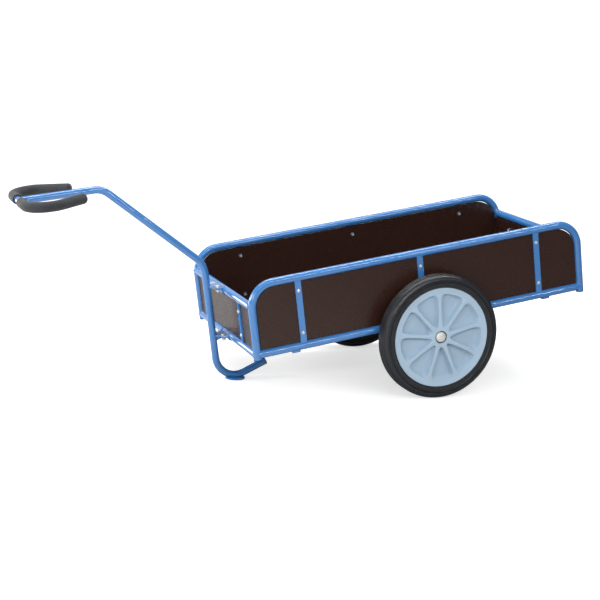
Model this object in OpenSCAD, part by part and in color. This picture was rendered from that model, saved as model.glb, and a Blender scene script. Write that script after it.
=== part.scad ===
// Two-wheeled hand cart: a tubular steel bed with film-faced plywood walls, a single curved
// drawbar that ends below in a foot plate and above in a horseshoe handle with two foam grips,
// and two solid-tyred plastic wheels on a fixed axle.
//
// All shapes are drawn in the bed's own frame: x runs from the front uprights (0) to the rear,
// y across (left is -y), z up from the centre line of the bottom rails. on_ground() then tips
// the bed up towards the rear, as it stands on its wheels and foot plate, and sets the origin
// under the middle of the cart at ground level.

/* [Bed] */
// Length between the front and rear uprights, centre to centre
bed_length = 1136; // [900:1:1400]
// Width between the left and right hoops, centre to centre
bed_width = 564; // [480:1:700]
// Height from the bottom rails to the top of the hoops, centre to centre
bed_height = 219; // [180:1:300]
// Height of the upper end rails above the bottom rails
end_rail_height = 153.5; // [120:0.5:160]
// Corner radius of the hoops on the tube's centre line
hoop_radius = 75; // [60:1:90]
// How far the uprights reach below the bottom rails
leg_drop = 15; // [13:1:60]
// Outer diameter of the bed frame's tube
tube_d = 25; // [22:0.5:28]
// Wall thickness of every tube
tube_wall = 2; // [1.5:0.5:3]

/* [Walls and floor] */
// Thickness of the plywood panels
panel_t = 15; // [8:1:15]
// Gap between a wall panel's edge and the tube around it
panel_gap = 1; // [0.5:0.5:4]
// Corner radius of the side panels
panel_radius = 64; // [60:1:80]
// Width of the flat straps that hold the panels
strap_w = 20; // [16:1:30]
// Thickness of the straps
strap_t = 4; // [3:0.5:6]
// Distance from an upright to the nearest side strap
strap_inset = 154; // [120:1:200]
// Distance of the end straps from the middle of the cart
end_strap_y = 160; // [100:1:200]
// Height of the lower side bolts
side_bolt_low = 42; // [30:1:60]
// Height of the upper side bolts
side_bolt_high = 177.5; // [140:0.5:190]
// Height of the lower end bolts
end_bolt_low = 35; // [28:1:50]
// Height of the upper end bolts
end_bolt_high = 113; // [90:1:125]
// Distance from an upright to the floor cross member
cross_inset = 128; // [80:1:200]
// Width of a floor cross member
cross_w = 25; // [20:1:40]
// Thickness of a floor cross member
cross_t = 6; // [4:1:8]

/* [Drawbar] */
// Outer diameter of the drawbar's tube
drawbar_d = 23.5; // [22:0.5:25]
// Distance of the handle's bare middle in front of the uprights
handle_front = 602; // [590:1:614]
// Height of the handle's bare middle above the bottom rails
handle_z = 544.8; // [530:0.1:560]
// Fall of the last stretch from the handle towards the cart, in degrees
handle_fall = 1.5; // [0:0.1:3]
// Straight length behind the handle
handle_run = 230.4; // [224:0.1:236]
// Bend under the handle, in degrees
handle_turn = 43.8; // [43:0.1:44.6]
// Straight length of the leaning stretch
lean_run = 358.2; // [352:0.1:364]
// Straight length of the upright stretch in front of the bed
upright_run = 282.5; // [276:0.5:284]
// Bend at the foot, in degrees
foot_turn = 106; // [100:0.1:112]
// Straight length of the free end behind the foot
foot_run = 79; // [65:0.5:90]
// Centre line radius of the bend under the handle
upper_bend_r = 63; // [58:1:68]
// Centre line radius of the bend in front of the bed
front_bend_r = 80; // [75:1:85]
// Centre line radius of the bend at the foot
lower_bend_r = 69; // [65:1:73]
// Distance of the foot plate's middle behind the front uprights
foot_x = 3; // [-4:0.5:10]
// Diameter of the foot plate
foot_plate_d = 64; // [50:1:90]
// Thickness of the foot plate
foot_plate_t = 5; // [4:0.5:8]

/* [Handle] */
// Outer diameter of the handle's tube
bow_d = 22; // [20:0.5:25]
// Outer diameter of the foam grips
grip_d = 33; // [30:0.5:40]
// Greatest half width of the handle, on the centre line
bow_half_w = 157; // [120:1:180]
// Radius of the handle's corners
bow_corner_r = 65; // [50:1:80]
// How far each arm leans in towards the drawbar, in degrees
bow_lean = 32; // [20:1:35]
// Reach of the arms back from the bare middle
bow_reach = 172; // [150:1:180]
// Slope of the arms down towards the bed, in degrees
bow_slope = 2.2; // [0:0.1:5]
// Half length of the bare middle between the grips
bow_bare = 27; // [22:1:40]

/* [Wheels] */
// Outer diameter of the tyre
wheel_d = 400; // [392:1:420]
// Width of the tyre
tyre_w = 60; // [54:1:64]
// Distance of the axle behind the front uprights
axle_x = 589; // [520:1:640]
// Depth of the axle below the bottom rails
axle_drop = 47; // [44:1:60]
// Distance of each wheel's middle from the middle of the cart
wheel_y = 332; // [330:1:360]
// Diameter of the axle
axle_d = 20; // [16:1:25]
// Outer radius of the plastic rim
rim_r = 160.6; // [155:0.1:163]
// Number of spokes
spokes = 9; // [7:1:11]

/* [Stance] */
// Angle by which the bed rises towards the rear
pitch = 9.3; // [8.8:0.1:9.3]

/* [Hidden] */
$fn = 64;

// Colours
BLUE = "#4a84c4";
PLYWOOD = "#3d2c28";
RIM = "#a3bcd6";
TYRE = "#2a2b2d";
FOAM = "#2b2c30";
ZINC = "#d3d7d2";
BLACK = "#1b1b1d";

// Tube sizes
tube_r = tube_d / 2;
bore_r = tube_r - tube_wall;
drawbar_r = drawbar_d / 2;
bow_r = bow_d / 2;
grip_r = grip_d / 2;
// Room left at a coped joint, taken up by the weld
cope = 0.05;

// Where the hoops, walls and straps lie
hoop_y = bed_width / 2;
strap_out = 6.5;
strap_in = strap_out - strap_t;
side_strap_x = [strap_inset, bed_length / 2, bed_length - strap_inset];
side_bolt_z = [side_bolt_low, side_bolt_high];
end_bolt_z = [end_bolt_low, end_bolt_high];
hoop_leg = bed_height - hoop_radius + leg_drop;
hoop_runs = [hoop_leg, bed_length - 2 * hoop_radius, hoop_leg];
hoop_turns = [-90, -90];
hoop_bends = [hoop_radius, hoop_radius];

// Drawbar in the cart's middle plane, from the handle to the free end behind the foot
drawbar_runs = [handle_run, lean_run, upright_run, foot_run];
drawbar_turns = [-handle_turn, handle_turn + handle_fall - 90, foot_turn];
drawbar_bends = [upper_bend_r, front_bend_r, lower_bend_r];

// Handle centre line in the handle's own plane: x back from the bare middle, y across
bow_turn = 90 + bow_lean;
bow_corner_out = [0, bow_half_w - bow_corner_r];
bow_arm_start = bow_corner_out + bow_corner_r * [1 + sin(bow_lean), cos(bow_lean)];
bow_arm = (bow_reach - bow_arm_start.x) / cos(bow_lean);

// Brackets between the drawbar and the front end rails
plate_front = 50;
upper_plate_z = 170;
lower_plate_z = 7;
bracket_bolt_x = -25;

// Wheels
axle_z = -axle_drop;
wheel_r = wheel_d / 2;
rim_half = 26;
hub_face = 22;
hub_back = tyre_w / 2;
spoke_top = 21.5;
spoke_phase = 86.9;
bracket_t = 8;
running = 0.05;
side_play = 0.3;

// Height of the ground below the bed frame's own origin, once the bed is tipped
ground = wheel_r - (axle_x * sin(pitch) + axle_z * cos(pitch));
back_reach = bed_length * cos(pitch) + (leg_drop + 3) * sin(pitch) + tube_r * cos(pitch);
front_reach = -(-handle_front * cos(pitch) - handle_z * sin(pitch)) + grip_r;
centre_x = (back_reach - front_reach) / 2;
// Height of the foot plate's middle, so that it rests on the ground
foot_z = (-ground - foot_x * sin(pitch)) / cos(pitch);

// ---------- helpers ----------
// Round rod in the x-y plane that sets off along +x: straight runs, joined by bends of radius
// r[i] that turn by turns[i] degrees, left if positive. A hair-thin collar spans each joint.
module rod(runs, turns, r, radius, i = 0) {
  first = i > 0 ? 0.2 : 0;
  last = i < len(turns) ? 0.2 : 0;
  translate([first, 0, 0])
    rotate([0, 90, 0]) cylinder(r = radius, h = runs[i] - first - last);
  if (i > 0) collar(0, radius);
  if (i < len(turns)) {
    s = sign(turns[i]);
    collar(runs[i], radius);
    translate([runs[i], s * r[i], 0]) {
      rotate([0, 0, -90 * s])
        rotate_extrude(angle = turns[i]) translate([r[i], 0]) circle(radius);
      rotate([0, 0, turns[i]])
        translate([0, -s * r[i], 0]) rod(runs, turns, r, radius, i + 1);
    }
  }
}

module collar(x, radius) {
  translate([x - 0.6, 0, 0]) rotate([0, 90, 0]) cylinder(r = radius + 0.04, h = 1.2);
}

// The same rod as a tube, open at both ends
module tube(runs, turns, r, radius) {
  last = len(runs) - 1;
  difference() {
    rod(runs, turns, r, radius);
    translate([-1, 0, 0])
      rod([for (i = [0 : last]) runs[i] + (i == 0 || i == last ? 1 : 0)], turns, r,
          radius - tube_wall);
  }
}

// Turns a drawing in the x-y plane upright, into the x-z plane at the given y
module upright(y = 0) {
  translate([0, y, 0]) rotate([90, 0, 0]) children();
}

// Tips the bed onto its wheels and foot plate
module on_ground() {
  translate([-centre_x, 0, ground]) rotate([0, -pitch, 0]) children();
}

// s is -1 on the left and 1 on the right
module bar_x(x0, x1, y, z, r) {
  translate([x0, y, z]) rotate([0, 90, 0]) cylinder(r = r, h = x1 - x0);
}

module bar_y(y0, y1, x, z, r) {
  translate([x, y0, z]) rotate([-90, 0, 0]) cylinder(r = r, h = y1 - y0);
}

module hoop_place(s) {
  upright(s * hoop_y) translate([0, -leg_drop, 0]) rotate([0, 0, 90]) children();
}

module drawbar_place() {
  upright() translate([-handle_front, handle_z, 0]) rotate([0, 0, -handle_fall]) children();
}

// Room for the hoops in whatever is welded to them
module hoop_room() {
  for (s = [-1, 1]) hoop_place(s) rod(hoop_runs, hoop_turns, hoop_bends, tube_r + cope);
}

// Moves a drawing from the drawbar's start to its free end, facing along it
module drawbar_tip(i = 0) {
  s = i < 3 ? sign(drawbar_turns[i]) : 0;
  if (i == 3) translate([drawbar_runs[3], 0, 0]) children();
  else
    translate([drawbar_runs[i], s * drawbar_bends[i], 0])
      rotate([0, 0, drawbar_turns[i]])
      translate([0, -s * drawbar_bends[i], 0]) drawbar_tip(i + 1) children();
}

module drawbar_room() {
  drawbar_place() rod(drawbar_runs, drawbar_turns, drawbar_bends, drawbar_r + cope);
}

// ---------- bed frame ----------
module side_hoop(s) {
  on_ground() hoop_place(s) tube(hoop_runs, hoop_turns, hoop_bends, tube_r);
}

module side_bottom_rail(s) {
  on_ground() difference() {
    bar_x(2, bed_length - 2, s * hoop_y, 0, tube_r);
    bar_x(0, bed_length, s * hoop_y, 0, bore_r);
    for (x = [0, bed_length])
      translate([x, s * hoop_y, -40]) cylinder(r = tube_r + cope, h = 80);
  }
}

module end_rail(x, z) {
  on_ground() difference() {
    bar_y(-hoop_y + 2, hoop_y - 2, x, z, tube_r);
    bar_y(-hoop_y, hoop_y, x, z, bore_r);
    hoop_room();
    if (z < tube_d)
      for (s = [-1, 1])
        bar_x(x - 40, x + 40, s * hoop_y, 0, tube_r + cope);
  }
}

module side_strap(s, x) {
  on_ground() difference() {
    translate([x - strap_w / 2, s > 0 ? hoop_y + strap_in : -hoop_y - strap_out, 5])
      cube([strap_w, strap_t, bed_height - 10]);
    bar_x(x - 40, x + 40, s * hoop_y, 0, tube_r + cope);
    bar_x(x - 40, x + 40, s * hoop_y, bed_height, tube_r + cope);
    for (z = side_bolt_z) bar_y(-hoop_y - 20, hoop_y + 20, x, z, 3.2);
  }
}

// e is -1 at the front and 1 at the rear
module end_strap(e, y) {
  x_end = e > 0 ? bed_length : 0;
  on_ground() difference() {
    translate([e > 0 ? x_end + strap_in : -strap_out, y - strap_w / 2, 5])
      cube([strap_t, strap_w, end_rail_height - 10]);
    bar_y(y - 40, y + 40, x_end, 0, tube_r + cope);
    bar_y(y - 40, y + 40, x_end, end_rail_height, tube_r + cope);
    for (z = end_bolt_z) bar_x(x_end - 20, x_end + 20, y, z, 3.2);
  }
}

module floor_cross_member(x) {
  on_ground()
    translate([x - cross_w / 2, -hoop_y - 3, -tube_r - cross_t])
    cube([cross_w, bed_width + 6, cross_t]);
}

module axle_bracket(s) {
  on_ground() difference() {
    translate([axle_x, s * hoop_y + bracket_t / 2, axle_z])
      rotate([90, 0, 0])
      linear_extrude(bracket_t) {
        circle(20);
        polygon([[-20, 0], [20, 0], [40, axle_drop - 6], [-40, axle_drop - 6]]);
      }
    bar_x(axle_x - 60, axle_x + 60, s * hoop_y, 0, tube_r + cope);
    bar_y(-hoop_y - 20, hoop_y + 20, axle_x, axle_z, axle_d / 2);
  }
}

// ---------- walls and floor ----------
module side_outline() {
  e = tube_r + panel_gap;
  r = panel_radius;
  top = bed_height - e;
  polygon([[e, e], [bed_length - e, e], [bed_length - e, top - r], [bed_length - e - r, top],
           [e + r, top], [e, top - r]]);
  for (x = [e + r, bed_length - e - r]) translate([x, top - r]) circle(r);
}

module side_panel(s) {
  y_out = s > 0 ? hoop_y + strap_in : -hoop_y - strap_in + panel_t;
  on_ground() difference() {
    upright(y_out) linear_extrude(panel_t) side_outline();
    for (x = side_strap_x, z = side_bolt_z) bar_y(-hoop_y - 20, hoop_y + 20, x, z, 3.2);
  }
}

module end_panel(e) {
  edge = tube_r + panel_gap;
  x_low = e > 0 ? bed_length + strap_in - panel_t : -strap_in;
  on_ground() difference() {
    translate([x_low, -hoop_y + edge, edge])
      cube([panel_t, bed_width - 2 * edge, end_rail_height - 2 * edge]);
    for (y = [-end_strap_y, end_strap_y], z = end_bolt_z) bar_x(x_low - 9, x_low + 21, y, z, 3.2);
  }
}

module floor_board() {
  edge = tube_r + panel_gap;
  on_ground()
    translate([edge, -hoop_y + edge, -tube_r])
    cube([bed_length - 2 * edge, bed_width - 2 * edge, panel_t]);
}

// ---------- fasteners ----------
// Button-head bolt along +z with a hexagon socket, its head's underside at z = 0 and its shank
// pointing down
module button_bolt(shank) {
  difference() {
    rotate_extrude()
      polygon([[0, 3.3], [2.8, 3.3], [4.6, 2.6], [5.6, 1.3], [5.9, 0], [3, 0], [3, -shank],
               [0, -shank]]);
    translate([0, 0, 1.5]) cylinder(r = 2.3, h = 5, $fn = 6);
  }
}

// Flanged hex nut along -z, its flange against z = 0
module flange_nut() {
  difference() {
    union() {
      translate([0, 0, -1.6]) cylinder(r = 7, h = 1.6);
      translate([0, 0, -6]) cylinder(r = 5.77, h = 5, $fn = 6);
    }
    translate([0, 0, -7]) cylinder(r = 3.05, h = 8);
  }
}

module side_fasteners(s, nut) {
  for (x = side_strap_x, z = side_bolt_z)
    translate([x, s * (hoop_y + (nut ? strap_in - panel_t : strap_out)), z])
      rotate([-90 * s, 0, 0])
      if (nut) flange_nut();
      else button_bolt(strap_t + panel_t + 8);
}

module end_fasteners(e, nut) {
  x_end = e > 0 ? bed_length : 0;
  for (y = [-end_strap_y, end_strap_y], z = end_bolt_z)
    translate([x_end + e * (nut ? strap_in - panel_t : strap_out), y, z])
      rotate([0, 90 * e, 0])
      if (nut) flange_nut();
      else button_bolt(strap_t + panel_t + 8);
}

// ---------- drawbar, foot and handle ----------
module drawbar() {
  on_ground() difference() {
    drawbar_place() tube(drawbar_runs, drawbar_turns, drawbar_bends, drawbar_r);
    bar_y(-30, 30, -handle_front, handle_z, bow_r + cope);
    translate([-handle_front - 40, -30, handle_z - 30]) cube([44, 60, 60]);
  }
}

module foot() {
  on_ground() difference() {
    translate([foot_x, 0, foot_z]) rotate([0, pitch, 0]) cylinder(d = foot_plate_d, h = foot_plate_t);
    drawbar_room();
  }
}

// Black plug: a cap on the tube's end and a stem inside it, along +z into the tube
module plug(radius) {
  translate([0, 0, -3]) cylinder(r = radius, h = 3);
  translate([0, 0, -1]) cylinder(r = radius - tube_wall - cope, h = 13);
}

module on_bow() {
  on_ground() translate([-handle_front, 0, handle_z]) rotate([0, bow_slope, 0]) children();
}

// The handle's right half from y = y0 on the bare middle to the arm's end, as a round bar
module bow_half(y0, r, extra) {
  translate([0, y0, 0]) rotate([-90, 0, 0]) cylinder(r = r, h = bow_corner_out.y - y0 - 0.2);
  translate([0, bow_corner_out.y, 0]) rotate([0, 0, 90]) collar(0, r);
  translate([bow_corner_r, bow_corner_out.y, 0])
    rotate([0, 0, 180])
    rotate_extrude(angle = -bow_turn) translate([bow_corner_r, 0]) circle(r);
  translate([bow_arm_start.x, bow_arm_start.y, 0])
    rotate([0, 0, -bow_lean]) {
      collar(0, r);
      translate([0.2, 0, 0]) rotate([0, 90, 0]) cylinder(r = r, h = bow_arm + extra - 0.2);
    }
}

module bow() {
  on_bow() difference() {
    union() {
      bow_half(-1, bow_r, 0);
      mirror([0, 1, 0]) bow_half(-1, bow_r, 0);
    }
    bow_half(-2, bow_r - tube_wall, 1);
    mirror([0, 1, 0]) bow_half(-2, bow_r - tube_wall, 1);
  }
}

module grip(s) {
  on_bow() mirror([0, s > 0 ? 0 : 1, 0]) difference() {
    union() {
      bow_half(bow_bare, grip_r, 0);
      translate([bow_arm_start.x, bow_arm_start.y, 0])
        rotate([0, 0, -bow_lean])
        translate([bow_arm, 0, 0]) rotate([0, 90, 0]) grip_end();
    }
    bow_half(bow_bare - 2, bow_r + cope, 0);
  }
}

// Rounded closed end of a grip, a hair wider than its arm
module grip_end() {
  r = grip_r + 0.04;
  rotate_extrude()
    polygon([[0, -1], [r, -1], [r, 3], [r - 1.2, 6.5], [r - 4, 9.5], [r - 8, 11.2], [0, 11.6]]);
}

// ---------- drawbar brackets ----------
// Plate welded to the drawbar, its top at height z, from half width w0 at the drawbar to w1,
// with a gusset of the given depth under its middle
module bracket_plate(z, x1, w0, w1, gusset) {
  on_ground() difference() {
    union() {
      translate([0, 0, z - 5])
        linear_extrude(5)
        polygon([[-plate_front, w0], [x1, w1], [x1, -w1], [-plate_front, -w0]]);
      if (gusset > 0)
        upright(2.5)
          linear_extrude(5)
          polygon([[-plate_front, z - 2], [x1 - 6, z - 2], [x1 - 6, z - 0.65 * gusset],
                   [-plate_front, z - gusset]]);
    }
    drawbar_room();
    for (y = [-1, 1]) translate([bracket_bolt_x, y * 25, z - 20]) cylinder(r = 4.2, h = 40);
  }
}

// Lug welded to the end rail at height rail_z: a plate under the bracket and a saddle
module rail_lug(rail_z, z) {
  on_ground() difference() {
    union() {
      translate([-34, -36, z - 10]) cube([34, 72, 5]);
      bar_y(-36, 36, 0, rail_z, tube_r + 4);
    }
    bar_y(-60, 60, 0, rail_z, tube_r + cope);
    translate([-strap_in - 0.1, -60, rail_z - 30]) cube([40, 120, 60]);
    translate([-40, -60, z - 5]) cube([60, 120, 60]);
    translate([-60, -5, z - 60]) cube([42.5, 10, 60]);
    for (y = [-1, 1]) translate([bracket_bolt_x, y * 25, z - 20]) cylinder(r = 4.2, h = 40);
    drawbar_room();
  }
}

// Low round-headed bolt, its head's underside at z = 0
module bolt_m8() {
  rotate_extrude()
    polygon([[0, 2.6], [4, 2.4], [7.4, 1.4], [8.2, 0], [4, 0], [4, -20], [0, -20]]);
}

module nut_m8() {
  difference() {
    union() {
      cylinder(r = 7.2, h = 6.5, $fn = 6);
      translate([0, 0, 5]) cylinder(r = 8, h = 1.5);
    }
    translate([0, 0, -1]) cylinder(r = 4.05, h = 10);
  }
}

// ---------- axle and wheels ----------
module rim_profile() {
  polygon([[rim_r, rim_half], [rim_r - 7.6, rim_half], [rim_r - 16.6, hub_face],
           [rim_r - 26, 3], [34, 3], [29, hub_face], [20.3, hub_face], [20.3, 17],
           [axle_d / 2 + running, 17], [axle_d / 2 + running, -hub_back], [26, -hub_back],
           [34, -3], [rim_r - 26, -3], [rim_r - 16.6, -hub_face], [rim_r - 7.6, -rim_half],
           [rim_r, -rim_half], [rim_r, -20], [rim_r - 10.6, -18], [rim_r - 10.6, 18],
           [rim_r, 20]]);
}

module spoke_outline() {
  out = rim_r - 15.6;
  half = [[26, 8.5], [36, 6.2], [48, 5.2], [66, 4.4], [out - 32, 4.2], [out - 16, 5.6],
          [out - 6, 8], [out, 12]];
  back = [for (i = [len(half) - 1 : -1 : 0]) [half[i].x, -half[i].y]];
  polygon(concat(half, back));
}

module rim() {
  rotate_extrude($fn = 128) rim_profile();
  for (k = [0 : spokes - 1])
    rotate([0, 0, spoke_phase + k * 360 / spokes])
      translate([0, 0, -spoke_top])
      linear_extrude(2 * spoke_top) spoke_outline();
}

module tyre_profile() {
  w = tyre_w / 2;
  seat = rim_r - 10.6 + cope;
  lip = rim_r + cope;
  side_pts = [[seat, 18], [lip, 20], [lip, w - 4.5], [lip + 1.5, w - 2.5], [lip + 5, w - 1.7],
              [lip + 12.6, w - 1.7], [lip + 14, w], [lip + 16.6, w], [lip + 17.8, w - 3.2],
              [lip + 19.2, w - 3.2], [lip + 20.5, w - 1.4], [wheel_r - 12, w - 2],
              [wheel_r - 6, w - 5.2], [wheel_r - 2.6, w - 10.6], [wheel_r - 3.8, w - 11.8],
              [wheel_r - 3.2, w - 13.2], [wheel_r - 0.3, w - 14.2], [wheel_r, w - 14.7],
              [wheel_r, 12.2], [wheel_r - 2.4, 11.8], [wheel_r - 2.4, 10.4], [wheel_r, 10],
              [wheel_r, 5.2], [wheel_r - 2.4, 4.8], [wheel_r - 2.4, 3.2], [wheel_r, 2.8]];
  back = [for (i = [len(side_pts) - 1 : -1 : 0]) [side_pts[i].x, -side_pts[i].y]];
  polygon(concat(side_pts, back));
}

module tyre() {
  rotate_extrude($fn = 128) tyre_profile();
}

// Puts a wheel part, its axis along +z and pointing outwards, at its place on side s
module wheel_place(s) {
  on_ground() mirror([0, s > 0 ? 1 : 0, 0])
    translate([axle_x, -wheel_y, axle_z]) rotate([90, 0, 0]) children();
}

washer_seat = 17 + side_play;
washer_t = 2;
cap_seat = wheel_y + washer_seat + washer_t;

// Domed push-on cap along +z, its rim on z = 0
module cap() {
  difference() {
    rotate_extrude()
      polygon([[0, 0], [16.8, 0], [16.8, 1.2], [15.4, 3], [12.8, 4.9], [9.2, 6.3], [4, 7.1],
               [2.2, 7.2], [1.6, 6.6], [0, 6.4]]);
    translate([0, 0, -1]) cylinder(r = axle_d / 2 + cope, h = 5);
  }
}

// ---------- pieces ----------
module side_hoop_left() { color(BLUE) side_hoop(-1); }
module side_hoop_right() { color(BLUE) side_hoop(1); }
module side_bottom_rail_left() { color(BLUE) side_bottom_rail(-1); }
module side_bottom_rail_right() { color(BLUE) side_bottom_rail(1); }
module front_upper_rail() { color(BLUE) end_rail(0, end_rail_height); }
module front_lower_rail() { color(BLUE) end_rail(0, 0); }
module rear_upper_rail() { color(BLUE) end_rail(bed_length, end_rail_height); }
module rear_lower_rail() { color(BLUE) end_rail(bed_length, 0); }
module side_strap_left_front() { color(BLUE) side_strap(-1, side_strap_x[0]); }
module side_strap_left_middle() { color(BLUE) side_strap(-1, side_strap_x[1]); }
module side_strap_left_rear() { color(BLUE) side_strap(-1, side_strap_x[2]); }
module side_strap_right_front() { color(BLUE) side_strap(1, side_strap_x[0]); }
module side_strap_right_middle() { color(BLUE) side_strap(1, side_strap_x[1]); }
module side_strap_right_rear() { color(BLUE) side_strap(1, side_strap_x[2]); }
module end_strap_front_left() { color(BLUE) end_strap(-1, -end_strap_y); }
module end_strap_front_right() { color(BLUE) end_strap(-1, end_strap_y); }
module end_strap_rear_left() { color(BLUE) end_strap(1, -end_strap_y); }
module end_strap_rear_right() { color(BLUE) end_strap(1, end_strap_y); }
module floor_cross_member_front() { color(BLUE) floor_cross_member(cross_inset); }
module floor_cross_member_rear() { color(BLUE) floor_cross_member(bed_length - cross_inset); }
module axle_bracket_left() { color(BLUE) axle_bracket(-1); }
module axle_bracket_right() { color(BLUE) axle_bracket(1); }
module side_panel_left() { color(PLYWOOD) side_panel(-1); }
module side_panel_right() { color(PLYWOOD) side_panel(1); }
module front_panel() { color(PLYWOOD) end_panel(-1); }
module rear_panel() { color(PLYWOOD) end_panel(1); }
module floor_panel() { color(PLYWOOD) floor_board(); }
module drawbar_tube() { color(BLUE) drawbar(); }
module drawbar_plug() {
  color(BLACK) on_ground() drawbar_place() drawbar_tip() rotate([0, -90, 0]) plug(drawbar_r);
}
module handle_bow() { color(BLUE) bow(); }
module grip_left() { color(FOAM) grip(-1); }
module grip_right() { color(FOAM) grip(1); }
module foot_plate() { color(BLUE) foot(); }
module upper_drawbar_bracket() { color(BLUE) bracket_plate(upper_plate_z, -13, 16, 34, 0); }
module lower_drawbar_bracket() { color(BLUE) bracket_plate(lower_plate_z, -13, 16, 37, 24); }
module upper_rail_lug() { color(BLUE) rail_lug(end_rail_height, upper_plate_z); }
module lower_rail_lug() { color(BLUE) rail_lug(0, lower_plate_z); }
module drawbar_bolts() {
  color(ZINC) on_ground()
    for (z = [upper_plate_z, lower_plate_z], y = [-25, 25]) translate([bracket_bolt_x, y, z]) bolt_m8();
}
module drawbar_nuts() {
  color(ZINC) on_ground()
    for (z = [upper_plate_z, lower_plate_z], y = [-25, 25])
      translate([bracket_bolt_x, y, z - 16.5]) nut_m8();
}
module axle() {
  color(ZINC) on_ground() bar_y(-cap_seat - 4, cap_seat + 4, axle_x, axle_z, axle_d / 2);
}
module axle_spacer(s) {
  from = hoop_y + bracket_t / 2;
  long = wheel_y - hub_back - side_play - from;
  on_ground() difference() {
    bar_y(s > 0 ? from : -from - long, s > 0 ? from + long : -from, axle_x, axle_z, 15);
    bar_y(-wheel_y, wheel_y, axle_x, axle_z, axle_d / 2 + cope);
  }
}
module axle_spacer_left() { color(ZINC) axle_spacer(-1); }
module axle_spacer_right() { color(ZINC) axle_spacer(1); }
module hub_washers() {
  color(BLACK)
    for (s = [-1, 1])
      wheel_place(s) translate([0, 0, washer_seat]) difference() {
        cylinder(r = 19.8, h = washer_t);
        translate([0, 0, -1]) cylinder(r = axle_d / 2 + cope, h = washer_t + 2);
      }
}
module axle_cap_left() {
  color(ZINC) wheel_place(-1) translate([0, 0, washer_seat + washer_t]) cap();
}
module axle_cap_right() {
  color(ZINC) wheel_place(1) translate([0, 0, washer_seat + washer_t]) cap();
}
module tyre_left() { color(TYRE) wheel_place(-1) tyre(); }
module tyre_right() { color(TYRE) wheel_place(1) tyre(); }
module rim_left() { color(RIM) wheel_place(-1) rim(); }
module rim_right() { color(RIM) wheel_place(1) rim(); }
module hoop_plugs() {
  color(BLACK) on_ground()
    for (x = [0, bed_length], y = [-hoop_y, hoop_y]) translate([x, y, -leg_drop]) plug(tube_r);
}
module panel_bolts_left() { color(ZINC) on_ground() side_fasteners(-1, false); }
module panel_bolts_right() { color(ZINC) on_ground() side_fasteners(1, false); }
module panel_bolts_front() { color(ZINC) on_ground() end_fasteners(-1, false); }
module panel_bolts_rear() { color(ZINC) on_ground() end_fasteners(1, false); }
module panel_nuts_left() { color(ZINC) on_ground() side_fasteners(-1, true); }
module panel_nuts_right() { color(ZINC) on_ground() side_fasteners(1, true); }
module panel_nuts_front() { color(ZINC) on_ground() end_fasteners(-1, true); }
module panel_nuts_rear() { color(ZINC) on_ground() end_fasteners(1, true); }

side_hoop_left();
side_hoop_right();
side_bottom_rail_left();
side_bottom_rail_right();
front_upper_rail();
front_lower_rail();
rear_upper_rail();
rear_lower_rail();
side_strap_left_front();
side_strap_left_middle();
side_strap_left_rear();
side_strap_right_front();
side_strap_right_middle();
side_strap_right_rear();
end_strap_front_left();
end_strap_front_right();
end_strap_rear_left();
end_strap_rear_right();
floor_cross_member_front();
floor_cross_member_rear();
axle_bracket_left();
axle_bracket_right();
side_panel_left();
side_panel_right();
front_panel();
rear_panel();
floor_panel();
drawbar_tube();
drawbar_plug();
handle_bow();
grip_left();
grip_right();
foot_plate();
upper_drawbar_bracket();
lower_drawbar_bracket();
upper_rail_lug();
lower_rail_lug();
drawbar_bolts();
drawbar_nuts();
axle();
axle_spacer_left();
axle_spacer_right();
hub_washers();
axle_cap_left();
axle_cap_right();
tyre_left();
tyre_right();
rim_left();
rim_right();
hoop_plugs();
panel_bolts_left();
panel_bolts_right();
panel_bolts_front();
panel_bolts_rear();
panel_nuts_left();
panel_nuts_right();
panel_nuts_front();
panel_nuts_rear();
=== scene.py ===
"""Two-wheeled hand cart on a white studio floor.

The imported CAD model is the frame. This script adds the finish: smooth round tubes, moulded wheel
rims and ribbed tyres, foam grips, weld beads, bevelled edges and the materials. Then it builds the
floor, the lights and the camera.

Shapes are drawn in mm in the bed's own frame, and at() turns them into the model's metres.
"""

import itertools
import math

import bmesh
import bpy
from mathutils import Matrix, Vector, noise


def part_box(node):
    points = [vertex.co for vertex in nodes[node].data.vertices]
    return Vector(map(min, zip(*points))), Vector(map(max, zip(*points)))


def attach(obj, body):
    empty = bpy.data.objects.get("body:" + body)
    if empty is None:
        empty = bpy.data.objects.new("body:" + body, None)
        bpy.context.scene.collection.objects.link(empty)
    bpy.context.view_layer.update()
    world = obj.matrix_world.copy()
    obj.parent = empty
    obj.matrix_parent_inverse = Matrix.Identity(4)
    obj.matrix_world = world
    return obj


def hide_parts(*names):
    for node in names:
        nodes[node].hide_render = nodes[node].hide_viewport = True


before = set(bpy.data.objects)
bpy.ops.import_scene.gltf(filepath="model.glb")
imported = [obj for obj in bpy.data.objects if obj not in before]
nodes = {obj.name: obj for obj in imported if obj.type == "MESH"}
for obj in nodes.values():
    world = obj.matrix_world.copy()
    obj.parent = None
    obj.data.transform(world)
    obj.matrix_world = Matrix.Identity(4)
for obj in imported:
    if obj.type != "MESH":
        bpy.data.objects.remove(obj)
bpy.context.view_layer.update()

# ---------------------------------------------------------------- sizes (mm, as in part.scad)
PITCH = math.radians(9.3)
BED_L, BED_W, BED_H = 1136.0, 564.0, 219.0
HALF_W = BED_W / 2
RAIL_H = 153.5
HOOP_R = 75.0
LEG_DROP = 15.0
PLUG_CAP = 3.0
# radii of the bed's tube, the drawbar, the handle's tube and the grips
TUBE, DRAW, BOW, GRIP = 12.5, 11.75, 11.0, 16.5

STRAP_X = (154.0, BED_L / 2, BED_L - 154.0)
STRAP_Y = 160.0
STRAP_OUT = 6.5
CROSS_X = (128.0, BED_L - 128.0)
CROSS_HALF_W = 12.5

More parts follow.
